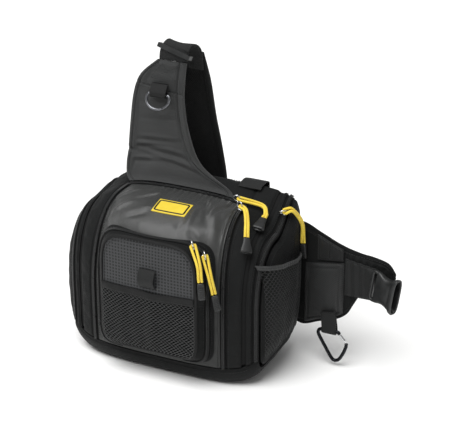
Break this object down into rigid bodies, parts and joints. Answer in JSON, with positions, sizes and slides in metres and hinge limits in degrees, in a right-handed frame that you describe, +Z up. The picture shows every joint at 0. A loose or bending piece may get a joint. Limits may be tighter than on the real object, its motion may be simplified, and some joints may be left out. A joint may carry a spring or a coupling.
{
  "type": "shoulder bag",
  "caption": "Padded nylon sling bag that stands on its base, with a zipped main body, front pocket, net side pocket, broad shoulder strap, belt wing with buckle and a snap hook.",
  "frame": {"origin": "middle of the flat resting face of the base", "axes": "+X to the right seen from the front, -Y to the front, +Z up"},
  "size_m": [0.4327, 0.1995, 0.3905],
  "materials": {
    "nylon": "matt black woven nylon",
    "gloss_nylon": "black nylon with a coated sheen",
    "ripstop": "dark grey ripstop with a small square grid",
    "net": "black knitted net",
    "webbing": "black woven webbing",
    "padding": "padded black nylon",
    "coil": "black coil zip on tape",
    "moulded": "black moulded plastic",
    "cord": "golden yellow braided cord",
    "patch": "golden yellow woven patch with a dark edge",
    "steel": "bright plated steel wire",
    "black_metal": "black coated metal"
  },
  "bodies": {
    "bag": {"base_panel": "nylon", "back_panel": "padding", "front_panel": "gloss_nylon", "main_zip_top": "coil", "top_panel": "nylon", "main_zip_left": "coil", "main_zip_right": "coil", "front_gusset_left": "nylon", "front_gusset_right": "nylon", "fold_left": "coil", "fold_right": "coil", "rear_gusset_left": "nylon", "rear_gusset_right": "nylon", "rear_zip_left": "coil", "rear_zip_right": "coil", "end_panel_left": "nylon", "end_panel_right": "nylon", "pocket_face": "ripstop", "pocket_gusset": "nylon", "pocket_zip": "coil", "pocket_mesh": "net", "pocket_hem": "webbing", "pocket_tab": "webbing", "label_patch": "patch", "side_net": "net", "side_net_hem": "webbing", "strap_front": "padding", "strap_webbing": "webbing", "strap_back": "padding", "strap_lock": "moulded", "d_ring_tab": "webbing", "top_loop": "webbing", "wing": "padding", "wing_pouch": "ripstop", "wing_patch": "webbing", "belt_webbing": "webbing", "buckle": "moulded", "carabiner_loop": "webbing", "pocket_pull_a_slider": "steel", "pocket_pull_a_cord": "cord", "pocket_pull_a_grip": "moulded", "pocket_pull_b_slider": "steel", "pocket_pull_b_cord": "cord", "pocket_pull_b_grip": "moulded", "main_pull_a_slider": "steel", "main_pull_a_cord": "cord", "main_pull_a_grip": "moulded", "main_pull_b_slider": "steel", "main_pull_b_cord": "cord", "main_pull_b_grip": "moulded", "rear_pull_slider": "steel", "rear_pull_cord": "cord", "rear_pull_grip": "moulded"},
    "hook": {"carabiner": "black_metal"},
    "hook_gate": {"carabiner_gate": "steel"},
    "strap_ring": {"d_ring": "steel"}
  },
  "joints": [
    {"name": "hook_swing", "type": "hinge", "parent": "bag", "child": "hook", "pos_m": [0.186, 0.0378, 0.0485], "axis": [1, 0, 0], "range_deg": [-60, 60]},
    {"name": "gate_open", "type": "hinge", "parent": "hook", "child": "hook_gate", "pos_m": [0.2089, 0.0378, 0.0356], "axis": [0, -1, 0], "range_deg": [0, 28], "stiffness_Nm_per_rad": 0.005, "springref_deg": -17.19},
    {"name": "ring_swing", "type": "hinge", "parent": "bag", "child": "strap_ring", "pos_m": [-0.045, 0.03059, 0.329], "axis": [-1, 0, 0], "range_deg": [-12, 95]}
  ]
}
